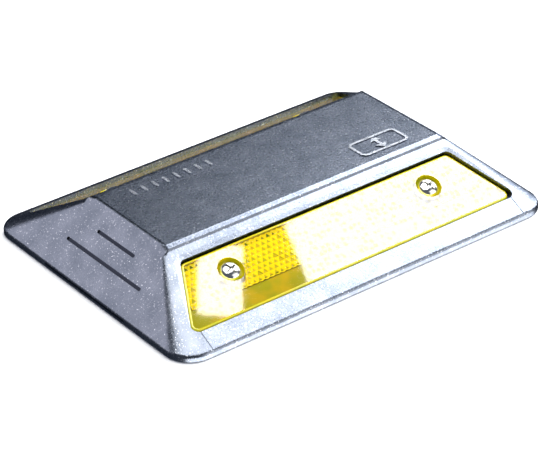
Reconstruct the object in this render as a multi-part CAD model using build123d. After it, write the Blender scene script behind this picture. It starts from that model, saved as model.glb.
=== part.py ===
from build123d import *
import os
from math import asin, cos, radians, sin, sqrt, tan

# Two-way raised pavement marker, bonded to the road. Millimetres, +Z up, bonding face on Z = 0.
# The long side lies across the traffic, along X. Drivers meet the front slope, at -Y, or the rear one.

# ---- whole marker
LENGTH = 150.0            # across the traffic
WIDTH = 110.5             # along the traffic
HEIGHT = 20.8
LIP_HEIGHT = 2.4          # upright edge all round the base
CORNER_R = 9.5            # base corners, seen from above
LIP_EDGE_R = 1.3          # where the slopes turn down into the lip
BASE_CHAMFER = 0.45       # round the bonding face

# ---- slopes and plateau
SLOPE = 27.5              # front and rear slopes, degrees from the road
PLATEAU_LENGTH = 112.7    # between the end slopes at full height
HIP_TOP_R = 1.6           # hips run from CORNER_R at the lip to this at the top
SHOULDER_START_Y = 17.0   # the plateau starts to round over here
SHOULDER_END_Y = 21.75    # and breaks down to the slope here
SHOULDER_DROP = 0.42
STEP_Y = 22.25            # foot of the step, on the slope
PLATEAU_ROOT = 6.0        # how far the raised top reaches down into the slopes
PLATEAU_END_R = 1.2

# ---- lens, in slope coordinates: x, u up the slope from the lip, w outwards from the slope
LENS_U_BOTTOM = 8.4
LENS_U_TOP = 32.5
LENS_HALF_BOTTOM = 65.9
LENS_HALF_TOP = 54.5
LENS_CORNER_R = 2.4
LENS_EDGE_R = 0.9
LENS_FACE_W = -1.3        # the lens lies this far under the slope
LENS_PLATE = 2.0
PRISM_MEAN = 0.7          # mean thickness of the cube-corner layer behind the plate
BOX_DEPTH = 2.4           # wall behind the plate that closes off the air gap
BOX_WALL = 1.4
BOX_INSET = 0.25
BOX_U_BOTTOM = 16.3       # no prisms below this
BOX_CORNER_R = 2.0
BACKPLATE = 0.9
GASKET = 0.5
GASKET_BAND, GASKET_CORNER_R = 2.8, 1.0
HOLLOW_CORNER_R = 1.0

# ---- pocket in the casting
POCKET_GAP = 0.4
LEDGE_GAP = 0.15
BEVEL_WIDTH, BEVEL_DEPTH = 1.7, 0.25
LOWER_GAP = 0.4           # more room below the lens
CLEAR_ABOVE = 6.0         # how far a cut reaches out of the slope

# ---- M4 x 8 pan head screws
SCREW_X, SCREW_U = 40.55, 23.95
HEAD_D, HEAD_H, HEAD_RIM = 7.0, 2.6, 0.8
SHANK_D, SHANK_L = 3.9, 8.0
TAPPED_D, TAPPED_L = 4.0, 4.9
COUNTERBORE_D, COUNTERBORE_DEPTH = 9.0, 2.0
CLEARANCE_D = 4.5
COLUMN_D = 10.6
BOSS_D = 9.0
RECESS_SPAN, RECESS_WIDTH, RECESS_DEPTH, RECESS_TAPER = 4.4, 1.1, 1.7, 10.0
SHANK_CHAMFER = 0.5
SCREW_TURN = 20.0         # how far round the cross recess stopped, degrees

# ---- marks cast on the plateau and the end slopes
MARK_HEIGHT, MARK_ROOT = 0.4, 0.2
FRAME_X, FRAME_Y, FRAME_LENGTH, FRAME_WIDTH, FRAME_LINE = 36.8, -11.8, 19.8, 9.9, 0.9
FRAME_CORNER_R = 2.2
ARROW_TIP, ARROW_NECK, ARROW_BARB, ARROW_WAIST = 3.6, 1.4, 2.3, 0.55
DASH_X, DASH_Y, DASH_PITCH, DASH_LENGTH, DASH_WIDTH = -44.9, 13.9, 4.32, 4.0, 1.0
DASHES = 8
LONG_GROOVE, LONG_GROOVE_UP = 42.0, 10.6
SHORT_GROOVE, SHORT_GROOVE_UP = 21.0, 18.1
GROOVE_Y = -0.9
GROOVE_WIDTH, GROOVE_DEPTH = 1.2, 0.5
JOINT_LINE_WIDTH, JOINT_LINE_DEPTH = 0.3, 0.2

# ---- underside
CELL_WIDTH, CELL_LENGTH, CELL_TOP, RIB = 13.5, 11.0, 16.2, 3.0
CELL_COLUMNS, CELL_ROWS = 6, 3
END_CELL_WIDTH, END_CELL_TOP = 10.0, 10.0
CELL_CORNER_R, CELL_DRAFT = 2.0, 1.5
KEY_WIDTH, KEY_DEPTH = 4.0, 1.0
KEY_LENGTH, KEY_Y = 116.0, (25.2, 32.6)
END_KEY_LENGTH, END_KEY_X = 76.0, 67.0

TOUCH = 0.01              # an edge this near to a height lies on it

end_run = (LENGTH - PLATEAU_LENGTH) / 2
end_rise = HEIGHT - LIP_HEIGHT
hull_top_width = WIDTH - 2 * end_rise / tan(radians(SLOPE))
side_lean = (LENS_HALF_BOTTOM - LENS_HALF_TOP) / (LENS_U_TOP - LENS_U_BOTTOM)
plate_back_w = LENS_FACE_W - LENS_PLATE
ledge_w = plate_back_w - LEDGE_GAP
box_back_w = plate_back_w - BOX_DEPTH
backplate_back_w = box_back_w - BACKPLATE
floor_w = backplate_back_w - GASKET
seat_w = LENS_FACE_W - COUNTERBORE_DEPTH

slope_plane = Plane(
    origin=(0, -WIDTH / 2, LIP_HEIGHT),
    x_dir=(1, 0, 0),
    z_dir=(0, -sin(radians(SLOPE)), cos(radians(SLOPE))),
)
end_plane = Plane(
    origin=(-LENGTH / 2, 0, LIP_HEIGHT),
    x_dir=(0, -1, 0),
    z_dir=(-end_rise, 0, end_run),
)


def on_slope(w):
    """The plane at height w over the front slope."""
    return slope_plane.offset(w)


def lens_outline(grow, corner_r, u_bottom=LENS_U_BOTTOM, u_top=LENS_U_TOP):
    """The lens's trapezoid, with every side moved out by grow."""
    def half(u):
        side = LENS_HALF_BOTTOM - side_lean * (u - LENS_U_BOTTOM)
        return side + grow * sqrt(1 + side_lean**2)

    low, high = u_bottom - grow, u_top + grow
    outline = make_face(Polyline(
        (-half(low), low), (half(low), low), (half(high), high), (-half(high), high), close=True))
    return fillet(outline.vertices(), corner_r)


def slab(outline, w_low, w_high):
    """An outline on the front slope made solid from w_low up to w_high."""
    return extrude(on_slope(w_low) * outline, w_high - w_low)


def screw_sites(w):
    """The two screw axes of the front lens, at height w."""
    return [on_slope(w) * Location((side * SCREW_X, SCREW_U, 0)) for side in (-1, 1)]


def rods(diameter, w_low, w_high):
    """A cylinder on each screw axis, from w_low up to w_high."""
    rod = Cylinder(diameter / 2, w_high - w_low, align=(Align.CENTER, Align.CENTER, Align.MIN))
    return [site * rod for site in screw_sites(w_low)]


def turned(solid):
    """The same piece for the rear, half a turn about Z."""
    return solid.rotate(Axis.Z, 180)


# ---------------------------------------------------------------- body casting
def hull():
    """Lip, four slopes and conical hips."""
    base = RectangleRounded(LENGTH, WIDTH, CORNER_R)
    top = RectangleRounded(PLATEAU_LENGTH, hull_top_width, HIP_TOP_R)
    slopes = loft([Plane.XY.offset(LIP_HEIGHT) * base, Plane.XY.offset(HEIGHT) * top], ruled=True)
    body = extrude(base, LIP_HEIGHT) + slopes
    turn_down = body.edges().filter_by(lambda e: abs(e.bounding_box().max.Z - LIP_HEIGHT) < TOUCH
                                       and abs(e.bounding_box().min.Z - LIP_HEIGHT) < TOUCH)
    body = fillet(turn_down, LIP_EDGE_R)
    return chamfer(body.faces().sort_by(Axis.Z)[0].edges(), BASE_CHAMFER)


def plateau():
    """The raised top, with rounded shoulders to the front and rear and a steep step below them."""
    slope_at_step = LIP_HEIGHT + (WIDTH / 2 - STEP_Y) * tan(radians(SLOPE))
    low = HEIGHT - PLATEAU_ROOT
    shoulder_r = ((SHOULDER_END_Y - SHOULDER_START_Y)**2 + SHOULDER_DROP**2) / (2 * SHOULDER_DROP)
    mid_angle = asin((SHOULDER_END_Y - SHOULDER_START_Y) / shoulder_r) / 2
    mid_y = SHOULDER_START_Y + shoulder_r * sin(mid_angle)
    mid_z = HEIGHT - shoulder_r * (1 - cos(mid_angle))

    def side(sign):
        foot, root = (sign * STEP_Y, slope_at_step), (sign * STEP_Y, low)
        start, end = (sign * SHOULDER_START_Y, HEIGHT), (sign * SHOULDER_END_Y, HEIGHT - SHOULDER_DROP)
        return [ThreePointArc(start, (sign * mid_y, mid_z), end), Line(end, foot), Line(foot, root)]

    section = make_face(side(-1) + side(1) + [
        Line((-SHOULDER_START_Y, HEIGHT), (SHOULDER_START_Y, HEIGHT)), Line((-STEP_Y, low), (STEP_Y, low))])
    bar = extrude(Plane.YZ * section, LENGTH / 2, both=True)
    ends = make_face(Polyline(
        (-LENGTH / 2, LIP_HEIGHT), (LENGTH / 2, LIP_HEIGHT),
        (PLATEAU_LENGTH / 2, HEIGHT), (-PLATEAU_LENGTH / 2, HEIGHT), close=True))
    block = bar & extrude(Plane.XZ * ends, WIDTH / 2, both=True)
    ends_top = block.edges().filter_by(
        lambda e: e.bounding_box().min.Z > HEIGHT - SHOULDER_DROP - TOUCH
        and e.bounding_box().size.Y > TOUCH)
    return fillet(ends_top, PLATEAU_END_R)


def pocket():
    """What the front slope loses to the lens unit."""
    opening = slab(
        lens_outline(POCKET_GAP, LENS_CORNER_R, LENS_U_BOTTOM - LOWER_GAP), ledge_w, CLEAR_ABOVE)
    well = slab(lens_outline(POCKET_GAP - BOX_INSET, BOX_CORNER_R, BOX_U_BOTTOM), floor_w, 0)
    rim = loft([
        on_slope(-BEVEL_DEPTH) * lens_outline(POCKET_GAP, LENS_CORNER_R),
        on_slope(0) * lens_outline(POCKET_GAP + BEVEL_WIDTH, LENS_CORNER_R + BEVEL_WIDTH)], ruled=True)
    rim += slab(lens_outline(POCKET_GAP + BEVEL_WIDTH, LENS_CORNER_R + BEVEL_WIDTH), 0, CLEAR_ABOVE)
    upper = Rectangle(LENGTH, WIDTH / 2, align=(Align.CENTER, Align.MIN))
    rim &= slab(Location((0, LENS_U_BOTTOM + LENS_CORNER_R, 0)) * upper, -CLEAR_ABOVE, CLEAR_ABOVE)
    cut = opening + well + rim
    for boss in rods(BOSS_D, floor_w, backplate_back_w):
        cut -= boss
    for hole in rods(TAPPED_D, backplate_back_w - TAPPED_L, backplate_back_w):
        cut += hole
    return cut


def end_grooves():
    """Two engraved lines on the left end slope."""
    cuts = []
    for length, up in ((LONG_GROOVE, LONG_GROOVE_UP), (SHORT_GROOVE, SHORT_GROOVE_UP)):
        line = SlotOverall(length, GROOVE_WIDTH)
        place = end_plane.offset(-GROOVE_DEPTH) * Location((-GROOVE_Y, up, 0))
        cuts.append(place * extrude(line, 2 * GROOVE_DEPTH))
    return cuts


def joint_lines():
    """Witness lines of the mould's slide, from the pocket's lower corners down to the lip."""
    half = LENS_HALF_BOTTOM - LENS_CORNER_R
    line = Rectangle(JOINT_LINE_WIDTH, 2 * LENS_U_BOTTOM)
    return [slab(Location((side * half, 0, 0)) * line, -JOINT_LINE_DEPTH, CLEAR_ABOVE) for side in (-1, 1)]


def plateau_marks():
    """Raised marks: a framed two-way arrow and a row of dashes."""
    frame = RectangleRounded(FRAME_LENGTH, FRAME_WIDTH, FRAME_CORNER_R)
    frame -= RectangleRounded(
        FRAME_LENGTH - 2 * FRAME_LINE, FRAME_WIDTH - 2 * FRAME_LINE, FRAME_CORNER_R - FRAME_LINE)
    quarter = [(0, ARROW_TIP), (ARROW_BARB, ARROW_NECK), (ARROW_WAIST, ARROW_NECK)]
    right = quarter + [(x, -y) for x, y in reversed(quarter)]
    left = [(-x, y) for x, y in reversed(right[1:-1])]
    arrow = make_face(Polyline(*right, *left, close=True))
    dashes = [Location((DASH_X + i * DASH_PITCH, DASH_Y, 0))
              * SlotOverall(DASH_LENGTH, DASH_WIDTH, rotation=90) for i in range(DASHES)]
    sketches = [Location((FRAME_X, FRAME_Y, 0)) * frame, Location((FRAME_X, FRAME_Y, 0)) * arrow]
    foot = Location((0, 0, HEIGHT - MARK_ROOT))
    return [foot * extrude(sketch, MARK_ROOT + MARK_HEIGHT) for sketch in sketches + dashes]


def underside():
    """Cored cells between ribs, and shallow grooves that key the adhesive."""
    def cell(x, y, width, top):
        outline = Location((x, y, 0)) * RectangleRounded(width, CELL_LENGTH, CELL_CORNER_R)
        return extrude(outline, top, taper=CELL_DRAFT)

    cuts = []
    columns = [(i - (CELL_COLUMNS - 1) / 2) * (CELL_WIDTH + RIB) for i in range(CELL_COLUMNS)]
    rows = [(i - (CELL_ROWS - 1) / 2) * (CELL_LENGTH + RIB) for i in range(CELL_ROWS)]
    end_x = columns[-1] + CELL_WIDTH / 2 + RIB + END_CELL_WIDTH / 2
    for y in rows:
        cuts += [cell(x, y, CELL_WIDTH, CELL_TOP) for x in columns]
        cuts += [cell(side * end_x, y, END_CELL_WIDTH, END_CELL_TOP) for side in (-1, 1)]
    key = extrude(SlotOverall(KEY_LENGTH, KEY_WIDTH), KEY_DEPTH)
    cuts += [Location((0, side * y, 0)) * key for y in KEY_Y for side in (-1, 1)]
    end_key = extrude(SlotOverall(END_KEY_LENGTH, KEY_WIDTH, rotation=90), KEY_DEPTH)
    cuts += [Location((side * END_KEY_X, 0, 0)) * end_key for side in (-1, 1)]
    return cuts


def body_casting():
    body = hull() + plateau()
    cuts = [pocket()] + end_grooves() + joint_lines()
    body -= cuts + [turned(cut) for cut in cuts] + underside()
    return body + plateau_marks()


# ---------------------------------------------------------------- reflector units
def lens():
    """Prism plate with rounded edges, and the box wall and screw columns behind it."""
    plate = slab(lens_outline(0, LENS_CORNER_R), plate_back_w, LENS_FACE_W)
    face = plate.faces().sort_by(Axis(slope_plane.origin, slope_plane.z_dir))[-1]
    plate = fillet(face.edges(), LENS_EDGE_R)
    box = slab(lens_outline(-BOX_INSET, BOX_CORNER_R, BOX_U_BOTTOM), box_back_w, plate_back_w)
    hollow = lens_outline(-BOX_INSET - BOX_WALL, HOLLOW_CORNER_R, BOX_U_BOTTOM)
    box -= slab(hollow, box_back_w, plate_back_w - PRISM_MEAN)
    box += rods(COLUMN_D, box_back_w, plate_back_w)
    unit = plate + box
    unit -= rods(COUNTERBORE_D, seat_w, 0)
    return unit - rods(CLEARANCE_D, box_back_w, seat_w)


def backplate():
    """Flat cover welded to the box wall."""
    cover = slab(lens_outline(-BOX_INSET, BOX_CORNER_R, BOX_U_BOTTOM), backplate_back_w, box_back_w)
    return cover - rods(CLEARANCE_D, backplate_back_w, box_back_w)


def gasket():
    """Flat ring between the backplate and the floor of the well."""
    ring = lens_outline(-BOX_INSET, BOX_CORNER_R, BOX_U_BOTTOM)
    ring -= lens_outline(-BOX_INSET - GASKET_BAND, GASKET_CORNER_R, BOX_U_BOTTOM)
    return slab(ring, floor_w, backplate_back_w)


def screw():
    """M4 pan head screw with a cross recess, its seat on Z = 0 and its head upwards."""
    dome = make_face([
        Line((0, 0), (HEAD_D / 2, 0)), Line((HEAD_D / 2, 0), (HEAD_D / 2, HEAD_RIM)),
        EllipticalCenterArc((0, HEAD_RIM), HEAD_D / 2, HEAD_H - HEAD_RIM, 0, arc_size=90),
        Line((0, HEAD_H), (0, 0))])
    head = revolve(Plane.XZ * dome, Axis.Z)
    wing = Rectangle(RECESS_SPAN, RECESS_WIDTH)
    cross = wing + Rectangle(RECESS_WIDTH, RECESS_SPAN)
    recess = extrude(Plane.XY.offset(HEAD_H) * cross, -RECESS_DEPTH, taper=RECESS_TAPER)
    shank = Cylinder(SHANK_D / 2, SHANK_L, align=(Align.CENTER, Align.CENTER, Align.MAX))
    shank = chamfer(shank.edges().sort_by(Axis.Z)[0], SHANK_CHAMFER)
    return head - recess + shank


# ---------------------------------------------------------------- assembly
pieces = {"body_casting": body_casting()}
for name, piece in (("reflector_lens", lens()), ("backplate", backplate()), ("gasket", gasket())):
    pieces[f"front_{name}"] = piece
    pieces[f"rear_{name}"] = turned(piece)
# The turn that makes the rear unit swaps left and right.
left_screw, right_screw = (site * Rotation(0, 0, SCREW_TURN) * screw() for site in screw_sites(seat_w))
pieces["front_left_screw"], pieces["front_right_screw"] = left_screw, right_screw
pieces["rear_left_screw"], pieces["rear_right_screw"] = turned(right_screw), turned(left_screw)

os.makedirs("parts", exist_ok=True)
for name, piece in pieces.items():
    solids = piece.solids()
    export_step(solids[0] if len(solids) == 1 else Compound(children=list(solids)), f"parts/{name}.step")
    print(name, len(solids), round(piece.volume / 1000, 3), "cm3")
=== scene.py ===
import math

import bmesh
import bpy
from bpy.props import FloatProperty, FloatVectorProperty, IntProperty, PointerProperty
from mathutils import Matrix, Vector


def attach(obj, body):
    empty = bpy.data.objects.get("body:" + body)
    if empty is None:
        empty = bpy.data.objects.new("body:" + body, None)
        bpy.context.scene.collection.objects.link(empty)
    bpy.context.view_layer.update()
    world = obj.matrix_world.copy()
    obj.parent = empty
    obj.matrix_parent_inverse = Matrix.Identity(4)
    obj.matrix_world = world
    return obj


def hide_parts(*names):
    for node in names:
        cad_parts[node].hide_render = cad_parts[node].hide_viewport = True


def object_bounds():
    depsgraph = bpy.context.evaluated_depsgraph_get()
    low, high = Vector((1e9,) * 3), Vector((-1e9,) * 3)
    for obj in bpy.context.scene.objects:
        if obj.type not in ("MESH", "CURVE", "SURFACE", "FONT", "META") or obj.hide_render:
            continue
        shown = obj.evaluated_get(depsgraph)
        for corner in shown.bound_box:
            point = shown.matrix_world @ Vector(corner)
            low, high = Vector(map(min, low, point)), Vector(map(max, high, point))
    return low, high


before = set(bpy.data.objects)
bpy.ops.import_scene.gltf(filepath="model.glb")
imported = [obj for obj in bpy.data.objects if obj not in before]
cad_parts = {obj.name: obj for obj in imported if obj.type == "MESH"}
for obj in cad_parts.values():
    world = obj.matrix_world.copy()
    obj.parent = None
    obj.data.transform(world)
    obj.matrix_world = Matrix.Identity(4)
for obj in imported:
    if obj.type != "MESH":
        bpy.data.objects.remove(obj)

bl_info = {
    "name": "Raised Pavement Marker",
    "version": (1, 0, 0),
    "blender": (4, 5, 0),
    "location": "3D View > Sidebar > Marker",
    "description": "Builds the looks of a cast two-way pavement marker around its packed frame",
    "category": "Object",
}

CAD_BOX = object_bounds()
MM = 0.001
BODY = "root"
SIDES = ("front", "rear")
BLACK, WHITE = (0, 0, 0, 1), (1, 1, 1, 1)

END_RISE, END_RUN = 18.4, 18.65                 # of the left and right slopes
RUB_LOW, RUB_HIGH = 0.12 * MM, 0.3 * MM         # raised marks brighten between these heights over the plateau
GROOVE_SHADE_TOP, GROOVE_SHADE_FOOT = 0.2 * MM, 0.8 * MM        # painted shade on the groove floors lies between these depths under an end slope
GROOVE_SHADE_FADE, GROOVE_SHADE_END_FADE = 0.2 * MM, 0.5 * MM
FACING = 0.999                                  # cosine over which a face looks straight out of the lens
FACE_SLACK, BACK_SLACK = 0.1 * MM, 1.0 * MM     # how far a face may lie behind the lens's face or back
FACETS = 3                                      # in a cube corner
FEWEST_CELLS = 10                               # in a row of prisms, on average


def srgb(code, alpha=1.0):
    """An sRGB hex colour as linear values."""
    parts = [int(code[i:i + 2], 16) / 255 for i in (1, 3, 5)]
    linear = [p / 12.92 if p <= 0.04045 else ((p + 0.055) / 1.055) ** 2.4 for p in parts]
    return (*linear, alpha)


def colour_prop(name, description, code):
    """A colour that a user can change."""
    return FloatVectorProperty(name=name, description=description, default=srgb(code),
                               subtype="COLOR", size=4, min=0.0, max=1.0)


def length_prop(name, description, millimetres):
    """A length that a user can change."""
    return FloatProperty(name=name, description=description, default=millimetres * MM,
                         unit="LENGTH", precision=5)


# ---------------------------------------------------------------- what a user would change
class MarkerSizes(bpy.types.PropertyGroup):
    """Sizes that the frame doesn't settle."""
    slope: FloatProperty(name="Slope", description="Front and rear slopes, from the road",
                         default=math.radians(27.5), subtype="ANGLE")
    lip: length_prop("Lip height", "Upright edge round the base", 2.4)
    end_slope: FloatProperty(name="End slope", description="Left and right slopes, from the road",
                             default=math.atan2(END_RISE, END_RUN), subtype="ANGLE")
    groove_end: length_prop("Groove end", "From the middle to the far end of the end grooves", 22.5)
    top: length_prop("Plateau height", "Road to the plateau, under the raised marks", 20.8)
    face_depth: length_prop("Lens depth", "Lens face under the slope", 1.3)
    plate: length_prop("Lens plate", "Thickness of the lens in front of the prisms", 2.0)
    prism_pitch: length_prop("Prism pitch", "Across the flats of one cube corner", 2.15)
    prism_depth: length_prop("Prism depth", "Rim to apex of one cube corner", 1.05)
    prism_low: length_prop("Prisms from", "Up the slope from the lip to the lowest prisms", 17.5)
    prism_high: length_prop("Prisms to", "Up the slope from the lip to the highest prisms", 31.6)
    prism_low_half: length_prop("Prisms, lower half width", "Middle to the end of the lowest row", 60.2)
    prism_high_half: length_prop("Prisms, upper half width", "Middle to the end of the top row", 53.3)
    prism_seed: IntProperty(name="Prism seed", description="Varies the tone from cell to cell", default=4)
    screw_x: length_prop("Screw place", "Screw axis from the middle of the lens", 40.55)
    screw_u: length_prop("Screw height", "Up the slope from the lip to the screw axis", 23.95)
    screw_ring: length_prop("Clear ring", "Width of the ring round a screw with no prisms", 10.8)


class MarkerColours(bpy.types.PropertyGroup):
    """Colours of the finishes."""
    casting: colour_prop("Cast metal", "Aluminium casting skin", "#7D828C")
    casting_dark: colour_prop("Cast metal, dull", "Duller patches of the casting skin", "#6A707A")
    speck: colour_prop("Cast metal, specks", "Grains and raised marks rubbed bright", "#E4E6EA")
    casting_grazing: colour_prop("Cast metal, grazing", "Seen almost along its skin", "#8A8E98")
    # Painted shade on the floors of the end grooves.
    painted_groove_shade: colour_prop("Groove shade, painted", "Painted shade on the floors of the end grooves", "#30333B")
    lens: colour_prop("Lens", "What one pass through the lens does to light", "#FFF7A8")
    lens_edge: colour_prop("Lens edge", "Light that gathers in the lens's edge", "#E6CF00")
    lens_edge_deep: colour_prop("Lens edge, deep", "Where less light reaches the edge", "#C4C60A")
    prism: colour_prop("Prisms", "Cube corners where they send light back", "#FFF000")
    # Painted shade towards each apex, where less light is sent back.
    prism_apex_shade: colour_prop("Prisms, deep", "Towards the apex of a cube corner", "#5A7A10")
    steel: colour_prop("Screw", "Polished stainless steel", "#E2E1DD")
    backplate: colour_prop("Backplate", "Moulded cover", "#D8D6CC")
    gasket: colour_prop("Gasket", "Rubber sheet", "#1B1B1D")
    floor: colour_prop("Floor", "Studio floor", "#FCFCFC")


def sizes():
    """The marker's sizes as they are set now."""
    return bpy.context.scene.marker_sizes


def colours():
    """The marker's colours as they are set now."""
    return bpy.context.scene.marker_colours


# ---------------------------------------------------------------- places on a slope
def slope_matrix(side, depth=0.0):
    """Takes x, u up the slope and w outwards from it to the row frame, for the front or rear slope."""
    slope = sizes().slope
    normal = Vector((0, -math.sin(slope), math.cos(slope)))
    upward = Vector((0, math.cos(slope), math.sin(slope)))
    foot = Vector((0, CAD_BOX[0].y, sizes().lip)) - depth * normal
    axes = Matrix((Vector((1, 0, 0)), upward, normal)).transposed().to_4x4()
    turn = Matrix.Rotation(math.pi, 4, "Z") if side == "rear" else Matrix.Identity(4)
    return turn @ Matrix.Translation(foot) @ axes


# ---------------------------------------------------------------- small tools
def new_object(name, mesh, material=None):
    """An object in the scene, at the origin."""
    piece = bpy.data.objects.new(name, mesh)
    bpy.context.scene.collection.objects.link(piece)
    if material:
        mesh.materials.append(material)
    return piece


def place(piece, replaced=()):
    """Rides the body and stands for the CAD nodes named."""
    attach(piece, BODY)
    if replaced:
        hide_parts(*replaced)
    return piece


def paint(node, material):
    """Gives a CAD node a finish."""
    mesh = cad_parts[node].data
    mesh.materials.clear()
    mesh.materials.append(material)


def merged_copy(node):
    """A bmesh of a CAD node with its loose triangles joined."""
    bm = bmesh.new()
    bm.from_mesh(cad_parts[node].data)
    bmesh.ops.remove_doubles(bm, verts=bm.verts, dist=0.002 * MM)
    return bm


def shade(mesh, angle=30.0):
    """Smooth shading with sharp edges over the angle, in degrees."""
    mesh.polygons.foreach_set("use_smooth", [True] * len(mesh.polygons))
    mesh.set_sharp_from_angle(angle=math.radians(angle))


# ---------------------------------------------------------------- materials
def add_node(tree, kind, inputs=None, stops=(), **settings):
    """Adds a node with its settings and a ramp's stops. An input takes a value, a socket, or a node's first
    output."""
    node = tree.nodes.new(kind)
    for key, value in settings.items():
        setattr(node, key, value)
    for i, (position, colour) in enumerate(stops):
        node.color_ramp.elements[i].position, node.color_ramp.elements[i].color = position, colour
    for key, given in (inputs or {}).items():
        source = given.outputs[0] if isinstance(given, bpy.types.Node) else given
        if isinstance(source, bpy.types.NodeSocket):
            tree.links.new(source, node.inputs[key])
        else:
            node.inputs[key].default_value = source
    return node


def new_material(name):
    """An empty material, with its tree and the place in the row frame that patterns are laid out by."""
    material = bpy.data.materials.new(name)
    material.use_nodes = True
    material.node_tree.nodes.clear()
    tree = material.node_tree
    where = add_node(tree, "ShaderNodeTexCoord").outputs["Object"]
    return material, tree, where


def per_mm(millimetres):
    """The texture scale that makes a feature this size."""
    return 1 / (millimetres * MM)


def cast_aluminium():
    """Aluminium casting, blasted and left raw: a grey skin with a fine tooth whose grains catch the light as
    specks, shallow pits, and slow mottling from the mould. Raised marks are rubbed bright, and the floors of
    the end grooves are darkened with painted shade that stands in for the shadow in the grooves."""
    material, tree, where = new_material("cast_aluminium_blasted")
    c = colours()
    mottle = add_node(tree, "ShaderNodeTexNoise", {"Vector": where, "Scale": per_mm(7), "Detail": 3.0})
    tone = add_node(tree, "ShaderNodeValToRGB", {"Fac": mottle},
                    stops=((0.32, c.casting_dark), (0.7, c.casting)))
    tooth = add_node(tree, "ShaderNodeTexNoise", {
        "Vector": where, "Scale": per_mm(0.9), "Detail": 3.0, "Roughness": 0.65})
    grains = add_node(tree, "ShaderNodeTexNoise", {"Vector": where, "Scale": per_mm(0.45), "Detail": 1.0})
    bright = add_node(tree, "ShaderNodeValToRGB", {"Fac": grains}, stops=((0.68, BLACK), (0.73, WHITE)))

    height_up = add_node(tree, "ShaderNodeSeparateXYZ", {0: where}).outputs["Z"]
    raised = add_node(tree, "ShaderNodeMapRange", {
        "Value": height_up, "From Min": sizes().top + RUB_LOW, "From Max": sizes().top + RUB_HIGH,
        "To Max": 0.75})
    rubbed = add_node(tree, "ShaderNodeMath", {0: bright, 1: raised}, operation="MAXIMUM")
    worn = add_node(tree, "ShaderNodeMixRGB", {"Fac": rubbed, "Color1": tone, "Color2": c.speck})

    # Painted shade: the floors of the end grooves are darkened, standing in for the shadow in the grooves.
    aside = add_node(tree, "ShaderNodeVectorMath", {0: where}, operation="ABSOLUTE")
    lean = Vector((-math.sin(sizes().end_slope), 0, -math.cos(sizes().end_slope)))
    edge = lean.dot(Vector((CAD_BOX[1].x, 0, sizes().lip)))
    under = add_node(tree, "ShaderNodeVectorMath", {0: aside, 1: lean}, operation="DOT_PRODUCT")
    across = add_node(tree, "ShaderNodeSeparateXYZ", {0: aside}).outputs["Y"]
    below_skin = add_node(tree, "ShaderNodeMapRange", {
        "Value": under.outputs["Value"], "From Min": edge + GROOVE_SHADE_TOP,
        "From Max": edge + GROOVE_SHADE_TOP + GROOVE_SHADE_FADE})
    above_core = add_node(tree, "ShaderNodeMapRange", {
        "Value": under.outputs["Value"], "From Min": edge + GROOVE_SHADE_FOOT - GROOVE_SHADE_FADE,
        "From Max": edge + GROOVE_SHADE_FOOT, "To Min": 1.0, "To Max": 0.0})
    within = add_node(tree, "ShaderNodeMapRange", {
        "Value": across, "From Min": sizes().groove_end, "From Max": sizes().groove_end + GROOVE_SHADE_END_FADE,
        "To Min": 1.0, "To Max": 0.0})
    groove_floor = add_node(tree, "ShaderNodeMath", {0: below_skin, 1: above_core}, operation="MULTIPLY")
    painted_groove_shade = add_node(tree, "ShaderNodeMath", {0: groove_floor, 1: within}, operation="MULTIPLY")
    groove_shaded = add_node(tree, "ShaderNodeMixRGB", {"Fac": painted_groove_shade, "Color1": worn, "Color2": c.painted_groove_shade})

    pits = add_node(tree, "ShaderNodeTexVoronoi", {"Vector": where, "Scale": per_mm(2.6)})
    pit = add_node(tree, "ShaderNodeValToRGB", {"Fac": pits}, stops=((0.05, BLACK), (0.2, WHITE)))
    height = add_node(tree, "ShaderNodeMath", {0: pit, 1: 0.35, 2: tooth}, operation="MULTIPLY_ADD")
    bump = add_node(tree, "ShaderNodeBump", {"Height": height, "Strength": 0.65, "Distance": 0.1 * MM})
    rough = add_node(tree, "ShaderNodeMapRange", {"Value": tooth, "To Min": 0.22, "To Max": 0.34})
    shader = add_node(tree, "ShaderNodeBsdfPrincipled", {
        "Base Color": groove_shaded, "Roughness": rough, "Normal": bump, "Metallic": 1.0,
        "Specular Tint": c.casting_grazing})
    add_node(tree, "ShaderNodeOutputMaterial", {"Surface": shader})
    return material


def clear_acrylic():
    """Injection-moulded acrylic, polished: yellow by what it lets through, with a mirror skin that waves very
    slightly and is duller in the sink mark over each prism. The skin mirrors more than bare acrylic does."""
    material, tree, where = new_material("acrylic_yellow_polished")
    wave = add_node(tree, "ShaderNodeTexNoise", {"Vector": where, "Scale": per_mm(9), "Detail": 1.0})
    bump = add_node(tree, "ShaderNodeBump", {"Height": wave, "Strength": 0.1, "Distance": 0.03 * MM})
    through = add_node(tree, "ShaderNodeBsdfTransparent", {"Color": colours().lens})
    sink = add_node(tree, "ShaderNodeTexVoronoi", {
        "Vector": where, "Scale": 1 / sizes().prism_pitch, "Randomness": 0.6})
    dulled = add_node(tree, "ShaderNodeValToRGB", {"Fac": sink},
                      stops=((0.18, srgb("#DEDEDA")), (0.5, WHITE)))
    gloss = add_node(tree, "ShaderNodeBsdfGlossy", {"Normal": bump, "Color": dulled, "Roughness": 0.03})
    fresnel = add_node(tree, "ShaderNodeFresnel", {"Normal": bump, "IOR": 1.92})
    mix = add_node(tree, "ShaderNodeMixShader", {"Fac": fresnel, 1: through, 2: gloss})
    add_node(tree, "ShaderNodeOutputMaterial", {"Surface": mix})
    return material


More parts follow.
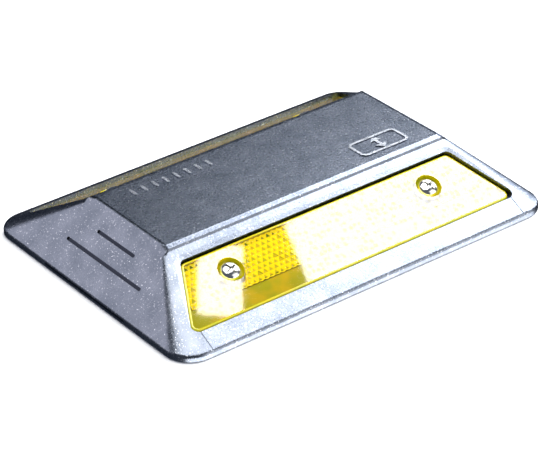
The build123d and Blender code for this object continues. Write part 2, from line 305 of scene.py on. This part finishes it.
def acrylic_back():
    """The moulded back of the acrylic: lets light on through, cloudy here and there where it flowed, and
    glows a little with painted light, an emission that stands in for light sent back through the lens.
    """
    material, tree, where = new_material("acrylic_yellow_back")
    flow = add_node(tree, "ShaderNodeTexNoise", {"Vector": where, "Scale": per_mm(7), "Detail": 2.0})
    tone = add_node(tree, "ShaderNodeValToRGB", {"Fac": flow},
                    stops=((0.4, colours().lens_edge), (0.62, colours().lens_edge_deep)))
    through = add_node(tree, "ShaderNodeBsdfTransparent", {"Color": colours().lens})
    # Painted light: the emission makes the back glow, though it is no lamp.
    haze_and_painted_glow = add_node(tree, "ShaderNodeBsdfPrincipled", {
        "Base Color": tone, "Emission Color": tone, "Roughness": 0.3, "Emission Strength": 0.35})
    mix = add_node(tree, "ShaderNodeMixShader", {"Fac": 0.8, 1: through, 2: haze_and_painted_glow})
    add_node(tree, "ShaderNodeOutputMaterial", {"Surface": mix})
    return material


def acrylic_edge():
    """The same acrylic at its edge, where light led through the plate gathers and glows. That glow is painted
    light: an opaque bright yellow stands in for it, with painted shade in the darker patches where less of it
    reaches.
    """
    material, tree, where = new_material("acrylic_yellow_edge")
    wave = add_node(tree, "ShaderNodeTexNoise", {"Vector": where, "Scale": per_mm(5), "Detail": 2.0})
    tone = add_node(tree, "ShaderNodeValToRGB", {"Fac": wave},
                    stops=((0.35, colours().lens_edge), (0.7, colours().lens_edge_deep)))
    # Painted light: no emission here, the bright yellow colour stands in for the glow.
    shader = add_node(tree, "ShaderNodeBsdfPrincipled", {"Base Color": tone, "Roughness": 0.08, "IOR": 1.7})
    add_node(tree, "ShaderNodeOutputMaterial", {"Surface": shader})
    return material


def acrylic_prisms():
    """Cube corners moulded into the back of the acrylic: gold facets that darken to olive at each apex. The
    gold and a small emission are painted light, standing in for the light the cube corners send back; the
    olive towards each apex is painted shade.
    """
    material, tree, _ = new_material("acrylic_prism_facets")
    depth = add_node(tree, "ShaderNodeAttribute", attribute_name="cell_depth").outputs["Fac"]
    cell = add_node(tree, "ShaderNodeAttribute", attribute_name="cell_tone").outputs["Fac"]
    shifted = add_node(tree, "ShaderNodeMath", {0: cell, 1: 0.35, 2: depth}, operation="MULTIPLY_ADD")
    tone = add_node(tree, "ShaderNodeValToRGB", {"Fac": shifted},
                    stops=((0.75, colours().prism), (1.0, colours().prism_apex_shade)))
    # Painted light: the emission makes the facets glow, though they are no lamp.
    shader = add_node(tree, "ShaderNodeBsdfPrincipled", {
        "Base Color": tone, "Emission Color": tone, "Roughness": 0.2, "IOR": 1.49,
        "Emission Strength": 0.42})
    add_node(tree, "ShaderNodeOutputMaterial", {"Surface": shader})
    return material


def stainless_steel():
    """Cold-headed stainless steel, tumbled bright: mirror-like, with fine scuffs from the other screws."""
    material, tree, where = new_material("stainless_steel_tumbled")
    scuffs = add_node(tree, "ShaderNodeTexNoise", {"Vector": where, "Scale": per_mm(0.35), "Detail": 3.0})
    rough = add_node(tree, "ShaderNodeMapRange", {"Value": scuffs, "To Min": 0.08, "To Max": 0.24})
    bump = add_node(tree, "ShaderNodeBump", {"Height": scuffs, "Strength": 0.15, "Distance": 0.02 * MM})
    shader = add_node(tree, "ShaderNodeBsdfPrincipled", {
        "Base Color": colours().steel, "Metallic": 1.0, "Roughness": rough, "Normal": bump})
    add_node(tree, "ShaderNodeOutputMaterial", {"Surface": shader})
    return material


def moulded_abs():
    """Injection-moulded ABS, spark-eroded mould texture: matt, with a fine even grain."""
    material, tree, where = new_material("abs_moulded")
    grain = add_node(tree, "ShaderNodeTexNoise", {"Vector": where, "Scale": per_mm(0.6), "Detail": 2.0})
    rough = add_node(tree, "ShaderNodeMapRange", {"Value": grain, "To Min": 0.45, "To Max": 0.62})
    bump = add_node(tree, "ShaderNodeBump", {"Height": grain, "Strength": 0.3, "Distance": 0.02 * MM})
    shader = add_node(tree, "ShaderNodeBsdfPrincipled", {
        "Base Color": colours().backplate, "IOR": 1.53, "Roughness": rough, "Normal": bump})
    add_node(tree, "ShaderNodeOutputMaterial", {"Surface": shader})
    return material


def epdm_sheet():
    """Die-cut EPDM rubber sheet: near-black and dull, with talc caught in its pores."""
    material, tree, where = new_material("epdm_die_cut")
    pores = add_node(tree, "ShaderNodeTexVoronoi", {"Vector": where, "Scale": per_mm(0.7)})
    tone = add_node(tree, "ShaderNodeValToRGB", {"Fac": pores},
                    stops=((0.0, srgb("#3A3A3C")), (0.6, colours().gasket)))
    bump = add_node(tree, "ShaderNodeBump", {"Height": pores, "Strength": 0.5, "Distance": 0.05 * MM})
    shader = add_node(tree, "ShaderNodeBsdfPrincipled", {
        "Base Color": tone, "Normal": bump, "Roughness": 0.8, "IOR": 1.5})
    add_node(tree, "ShaderNodeOutputMaterial", {"Surface": shader})
    return material


def studio_paper():
    """Matt white background paper."""
    material, tree, where = new_material("background_paper")
    fibre = add_node(tree, "ShaderNodeTexNoise", {"Vector": where, "Scale": per_mm(3), "Detail": 2.0})
    rough = add_node(tree, "ShaderNodeMapRange", {"Value": fibre, "To Min": 0.85, "To Max": 0.95})
    shader = add_node(tree, "ShaderNodeBsdfPrincipled", {
        "Base Color": colours().floor, "Specular IOR Level": 0.1, "Roughness": rough})
    add_node(tree, "ShaderNodeOutputMaterial", {"Surface": shader})
    return material


# ---------------------------------------------------------------- pieces
class MARKER_OT_cast_body(bpy.types.Operator):
    """Finish the cast body"""
    bl_idname = "marker.cast_body"
    bl_label = "Cast body"

    def execute(self, context):
        paint("body_casting", cast_aluminium())
        return {"FINISHED"}


class MARKER_OT_lenses(bpy.types.Operator):
    """Build both lenses: clear face, rounded edge with a painted glow, and cloudy back that also glows with
    painted light
    """
    bl_idname = "marker.lenses"
    bl_label = "Lenses"

    def execute(self, context):
        finishes = clear_acrylic(), acrylic_edge(), acrylic_back()
        for side in SIDES:
            bm = merged_copy(f"{side}_reflector_lens")
            to_slope = slope_matrix(side).inverted()
            for face in bm.faces:
                facing = (to_slope.to_3x3() @ face.normal).z
                depth = -(to_slope @ face.calc_center_median()).z
                on_face = facing > FACING and depth < sizes().face_depth + FACE_SLACK
                on_back = facing < -FACING and depth < sizes().face_depth + sizes().plate + BACK_SLACK
                face.material_index = 0 if on_face else 2 if on_back else 1
            if len({face.material_index for face in bm.faces}) < len(finishes):
                raise RuntimeError(f"the {side} lens lacks a face, an edge or a back")
            for edge in bm.edges:
                if len({face.material_index for face in edge.link_faces}) > 1:
                    edge.smooth = False
            mesh = bpy.data.meshes.new(f"{side}_lens_plate")
            bm.to_mesh(mesh)
            bm.free()
            mesh.polygons.foreach_set("use_smooth", [face.material_index == 1 for face in mesh.polygons])
            for finish in finishes:
                mesh.materials.append(finish)
            place(new_object(f"{side}_lens_plate", mesh), [f"{side}_reflector_lens"])
        return {"FINISHED"}


def prism_cell():
    """One hexagonal cube corner: three facets that meet at an apex behind the rim, whose corners are high and
    low by turns."""
    radius, depth = sizes().prism_pitch / math.sqrt(3), sizes().prism_depth
    turns = [math.radians(30 + 60 * i) for i in range(6)]
    corners = [(radius * math.cos(turn), radius * math.sin(turn), -0.5 * depth * (i % 2))
               for i, turn in enumerate(turns)]
    mesh = bpy.data.meshes.new("prism_cell")
    mesh.from_pydata(corners + [(0, 0, -depth)], [], [(6, 5, 0, 1), (6, 1, 2, 3), (6, 3, 4, 5)])
    depths = mesh.attributes.new("cell_depth", "FLOAT", "POINT")
    depths.data.foreach_set("value", [0.5 * (i % 2) for i in range(6)] + [1.0])
    return mesh


def prism_tree(material):
    """Rows of cube corners, every other row moved half a cell, cut to the lens and clear of the screws."""
    tree = bpy.data.node_groups.new("prism_field", "GeometryNodeTree")
    for name, kind in (("Cell", "Geometry"), ("Pitch", "Float"), ("Row", "Float"), ("Columns", "Int"),
                       ("Rows", "Int"), ("Low half", "Float"), ("High half", "Float"), ("Screw X", "Float"),
                       ("Screw Y", "Float"), ("Ring", "Float"), ("Seed", "Int")):
        tree.interface.new_socket(name=name, in_out="INPUT", socket_type=f"NodeSocket{kind}")
    tree.interface.new_socket(name="Field", in_out="OUTPUT", socket_type="NodeSocketGeometry")
    given = add_node(tree, "NodeGroupInput").outputs
    maths = "ShaderNodeMath"

    # rows of points, every other row moved half a pitch
    gaps = add_node(tree, maths, {0: given["Columns"], 1: 1.0}, operation="SUBTRACT")
    wide = add_node(tree, maths, {0: gaps, 1: given["Pitch"]}, operation="MULTIPLY")
    row_gaps = add_node(tree, maths, {0: given["Rows"], 1: 1.0}, operation="SUBTRACT")
    tall = add_node(tree, maths, {0: row_gaps, 1: given["Row"]}, operation="MULTIPLY")
    grid = add_node(tree, "GeometryNodeMeshGrid", {
        "Size X": wide, "Size Y": tall, "Vertices X": given["Columns"], "Vertices Y": given["Rows"]})
    at = add_node(tree, "ShaderNodeSeparateXYZ", {0: add_node(tree, "GeometryNodeInputPosition")}).outputs
    above = add_node(tree, maths, {0: tall, 1: 0.5, 2: at["Y"]}, operation="MULTIPLY_ADD")
    counted = add_node(tree, maths, {0: above, 1: given["Row"]}, operation="DIVIDE")
    row = add_node(tree, maths, {0: counted}, operation="ROUND")
    odd = add_node(tree, maths, {0: row, 1: 2.0}, operation="MODULO")
    half_pitch = add_node(tree, maths, {0: given["Pitch"], 1: 0.5}, operation="MULTIPLY")
    shift = add_node(tree, maths, {0: odd, 1: half_pitch}, operation="MULTIPLY")
    offset = add_node(tree, "ShaderNodeCombineXYZ", {"X": shift})
    staggered = add_node(tree, "GeometryNodeSetPosition", {"Geometry": grid, "Offset": offset})

    # none past the lens's slanting ends or in the clear ring round a screw
    aside = add_node(tree, maths, {0: at["X"]}, operation="ABSOLUTE")
    up = add_node(tree, maths, {0: above, 1: tall}, operation="DIVIDE")
    limit = add_node(tree, "ShaderNodeMapRange", {
        "Value": up, "To Min": given["Low half"], "To Max": given["High half"]}, clamp=False)
    beyond = add_node(tree, maths, {0: aside, 1: limit}, operation="GREATER_THAN")
    place_at = add_node(tree, "ShaderNodeCombineXYZ", {"X": aside, "Y": at["Y"]})
    screw_at = add_node(tree, "ShaderNodeCombineXYZ", {"X": given["Screw X"], "Y": given["Screw Y"]})
    reach = add_node(tree, "ShaderNodeVectorMath", {0: place_at, 1: screw_at}, operation="DISTANCE")
    ring = add_node(tree, maths, {0: given["Ring"], 1: 0.5}, operation="MULTIPLY")
    inside = add_node(tree, maths, {0: reach.outputs["Value"], 1: ring}, operation="LESS_THAN")
    either = add_node(tree, maths, {0: beyond, 1: inside}, operation="MAXIMUM")
    kept = add_node(tree, "GeometryNodeDeleteGeometry", {"Geometry": staggered, "Selection": either})

    # a cell on each point, with a tone of its own
    cells = add_node(tree, "GeometryNodeInstanceOnPoints", {"Points": kept, "Instance": given["Cell"]})
    chance = add_node(tree, "FunctionNodeRandomValue", {"Seed": given["Seed"]}).outputs[1]
    toned = add_node(tree, "GeometryNodeStoreNamedAttribute", {
        "Geometry": cells, "Name": "cell_tone", "Value": chance}, domain="INSTANCE")
    real = add_node(tree, "GeometryNodeRealizeInstances", {"Geometry": toned})
    finished = add_node(tree, "GeometryNodeSetMaterial", {"Geometry": real, "Material": material})
    add_node(tree, "NodeGroupOutput", {"Field": finished})
    return tree


def grown(name, mesh, tree, inputs):
    """The plain mesh that a node tree makes from a mesh and its named inputs."""
    seed_object = new_object(name + "_seed", mesh)
    modifier = seed_object.modifiers.new("nodes", "NODES")
    modifier.node_group = tree
    for socket in tree.interface.items_tree:
        if socket.in_out == "INPUT" and socket.name in inputs:
            modifier[socket.identifier] = inputs[socket.name]
    graph = bpy.context.evaluated_depsgraph_get()
    result = bpy.data.meshes.new_from_object(seed_object.evaluated_get(graph), depsgraph=graph)
    bpy.data.objects.remove(seed_object)
    result.name = name
    return result


class MARKER_OT_prisms(bpy.types.Operator):
    """Build the cube-corner field behind each lens"""
    bl_idname = "marker.prisms"
    bl_label = "Prisms"

    def execute(self, context):
        s = sizes()
        row = s.prism_pitch * math.sqrt(3) / 2
        rows = int((s.prism_high - s.prism_low) / row) + 1
        middle = (s.prism_low + s.prism_high) / 2
        facets = acrylic_prisms()
        tree = prism_tree(facets)
        for side in SIDES:
            mesh = grown(f"{side}_prism_field", prism_cell(), tree, {
                "Pitch": s.prism_pitch, "Row": row, "Rows": rows, "Low half": s.prism_low_half,
                "Columns": int(2 * s.prism_low_half / s.prism_pitch) + 2, "High half": s.prism_high_half,
                "Screw X": s.screw_x, "Screw Y": s.screw_u - middle, "Ring": s.screw_ring,
                "Seed": s.prism_seed})
            if len(mesh.polygons) < FACETS * FEWEST_CELLS * rows:
                raise RuntimeError("the prism field came out empty")
            mesh.transform(slope_matrix(side, s.face_depth + s.plate) @ Matrix.Translation((0, middle, 0)))
            mesh.polygons.foreach_set("use_smooth", [False] * len(mesh.polygons))
            place(new_object(f"{side}_prism_field", mesh))
        return {"FINISHED"}


class MARKER_OT_backplates(bpy.types.Operator):
    """Finish the backplates and gaskets"""
    bl_idname = "marker.backplates"
    bl_label = "Backplates and gaskets"

    def execute(self, context):
        cover, rubber = moulded_abs(), epdm_sheet()
        for side in SIDES:
            paint(f"{side}_backplate", cover)
            paint(f"{side}_gasket", rubber)
        return {"FINISHED"}


class MARKER_OT_screws(bpy.types.Operator):
    """Finish the four screws"""
    bl_idname = "marker.screws"
    bl_label = "Screws"

    def execute(self, context):
        steel = stainless_steel()
        for side in SIDES:
            for hand in ("left", "right"):
                paint(f"{side}_{hand}_screw", steel)
        return {"FINISHED"}


# ---------------------------------------------------------------- stage
CAMERA_AZIMUTH, CAMERA_ELEVATION, CAMERA_ROLL = -35.784, 30.666, -2.344    # degrees
CAMERA_DISTANCE, CAMERA_LENS = 0.837305, 167.78                            # metres, and millimetres
CAMERA_TARGET = (0, 0, 0.008)
CAMERA_ASIDE, CAMERA_UP = -0.00019, -0.00887                               # metres, along its own axes
SENSOR_WIDTH = 36
CLIP_START, CLIP_END = 0.01, 20
WORLD_GREY = "#595F6B"
FLOOR_REACH, FLOOR_INSET, FLOOR_Z = 3.0, 4 * MM, -0.05 * MM                # the inset is under the marker


def camera_axes():
    """Right, up and back of the camera."""
    a, e, r = map(math.radians, (CAMERA_AZIMUTH, CAMERA_ELEVATION, CAMERA_ROLL))
    back = Vector((math.sin(a) * math.cos(e), -math.cos(a) * math.cos(e), math.sin(e)))
    right = Vector((math.cos(a), math.sin(a), 0))
    up = back.cross(right)
    return right * math.cos(r) + up * math.sin(r), up * math.cos(r) - right * math.sin(r), back


def softbox(name, centre, size, glow, turn=0.0, facing=(0, 0, -1), tint="#FFFFFF"):
    """An area light of this many watts a square metre, turned about the way it faces, in degrees."""
    data = bpy.data.lights.new(name, "AREA")
    data.shape = "RECTANGLE"
    data.size, data.size_y = size
    data.energy = glow * size[0] * size[1]
    data.color = srgb(tint)[:3]
    lamp = bpy.data.objects.new(name, data)
    aim = Vector(facing).to_track_quat("-Z", "Y").to_matrix().to_4x4()
    lamp.matrix_world = Matrix.Translation(centre) @ aim @ Matrix.Rotation(math.radians(turn), 4, "Z")
    bpy.context.scene.collection.objects.link(lamp)
    return lamp


class MARKER_OT_stage(bpy.types.Operator):
    """Set the camera, lights and floor"""
    bl_idname = "marker.stage"
    bl_label = "Stage"

    def execute(self, context):
        scene = context.scene
        data = bpy.data.cameras.new("camera")
        data.lens = CAMERA_LENS
        data.sensor_width = SENSOR_WIDTH
        data.clip_start, data.clip_end = CLIP_START, CLIP_END
        camera = bpy.data.objects.new("camera", data)
        right, up, back = camera_axes()
        eye = Vector(CAMERA_TARGET) + CAMERA_ASIDE * right + CAMERA_UP * up + CAMERA_DISTANCE * back
        camera.matrix_world = Matrix.Translation(eye) @ Matrix((right, up, back)).transposed().to_4x4()
        scene.collection.objects.link(camera)
        scene.camera = camera

        # The front slope and the lens mirror the first two. The gap between them shows the prisms.
        softbox("overhead_softbox", (1.0535, 0.23, 0.9), (1.093, 1.26), 29, tint="#F7FAFF")
        softbox("overhead_strip", (0.440, -0.066, 0.9), (0.036, 0.052), 29, turn=-25)
        # The first fills from above, and the left end slope mirrors the second.
        softbox("overhead_side", (0.0, -0.02, 0.9), (0.79, 0.7), 15)
        softbox("back_card", (-0.7, 1.0, 0.66), (1.1, 0.72), 6.2, facing=(0.5, -0.75, -0.44), tint="#EAE6EE")
        # Behind and to the right.
        softbox("back_strip", (0.65, 1.0, 0.30), (0.9, 0.03), 5, facing=(0, -1, -0.2))
        softbox("right_card", (1.3, 0.35, 0.5), (1.0, 0.8), 14, facing=(-1, -0.25, -0.3))
        # The front lip faces this one, through a floor that stops no light.
        softbox("front_card", (0.1, -0.62, -0.45), (1.9, 0.7), 17, facing=(-0.1, 0.65, 0.5))
        # In front.
        softbox("front_dim_card", (0.65, -1.0, 0.64), (1.1, 0.7), 4.2, facing=(-0.5, 0.8, -0.5))
        softbox("front_strip", (0.6, -1.0, 0.14), (1.2, 0.26), 10, facing=(-0.5, 0.85, -0.1))

        # The floor lies just under the marker and is open below it, so that the underside can be seen.
        corners = [(-1, -1), (1, -1), (1, 1), (-1, 1)]
        half_x, half_y = CAD_BOX[1].x - FLOOR_INSET, CAD_BOX[1].y - FLOOR_INSET
        outer = [(FLOOR_REACH * x, FLOOR_REACH * y, FLOOR_Z) for x, y in corners]
        inner = [(half_x * x, half_y * y, FLOOR_Z) for x, y in corners]
        mesh = bpy.data.meshes.new("studio_floor")
        mesh.from_pydata(outer + inner, [], [(i, (i + 1) % 4, 4 + (i + 1) % 4, 4 + i) for i in range(4)])
        floor = new_object("studio_floor", mesh, studio_paper())
        floor.visible_glossy = False
        floor.visible_shadow = False

        world = bpy.data.worlds.new("studio")
        world.use_nodes = True
        world.node_tree.nodes["Background"].inputs["Color"].default_value = srgb(WORLD_GREY)
        world.node_tree.nodes["Background"].inputs["Strength"].default_value = 1.0
        scene.world = world
        scene.view_settings.view_transform = "Standard"
        return {"FINISHED"}


OPERATORS = (MARKER_OT_stage, MARKER_OT_cast_body, MARKER_OT_lenses, MARKER_OT_prisms,
             MARKER_OT_backplates, MARKER_OT_screws)


class MARKER_PT_panel(bpy.types.Panel):
    """Lists the marker's pieces"""
    bl_idname = "MARKER_PT_panel"
    bl_label = "Pavement marker"
    bl_space_type = "VIEW_3D"
    bl_region_type = "UI"
    bl_category = "Marker"

    def draw(self, context):
        for operator in OPERATORS:
            self.layout.operator(operator.bl_idname)
        for group in (context.scene.marker_sizes, context.scene.marker_colours):
            box = self.layout.box()
            for name in group.bl_rna.properties.keys():
                if name not in ("rna_type", "name"):
                    box.prop(group, name)


CLASSES = (MarkerSizes, MarkerColours, *OPERATORS, MARKER_PT_panel)


def register():
    for cls in CLASSES:
        bpy.utils.register_class(cls)
    bpy.types.Scene.marker_sizes = PointerProperty(type=MarkerSizes)
    bpy.types.Scene.marker_colours = PointerProperty(type=MarkerColours)


def unregister():
    del bpy.types.Scene.marker_colours
    del bpy.types.Scene.marker_sizes
    for cls in reversed(CLASSES):
        bpy.utils.unregister_class(cls)


def main():
    register()
    bpy.ops.marker.stage()
    bpy.ops.marker.cast_body()
    bpy.ops.marker.lenses()
    bpy.ops.marker.prisms()
    bpy.ops.marker.backplates()
    bpy.ops.marker.screws()


if __name__ == "__main__":
    main()
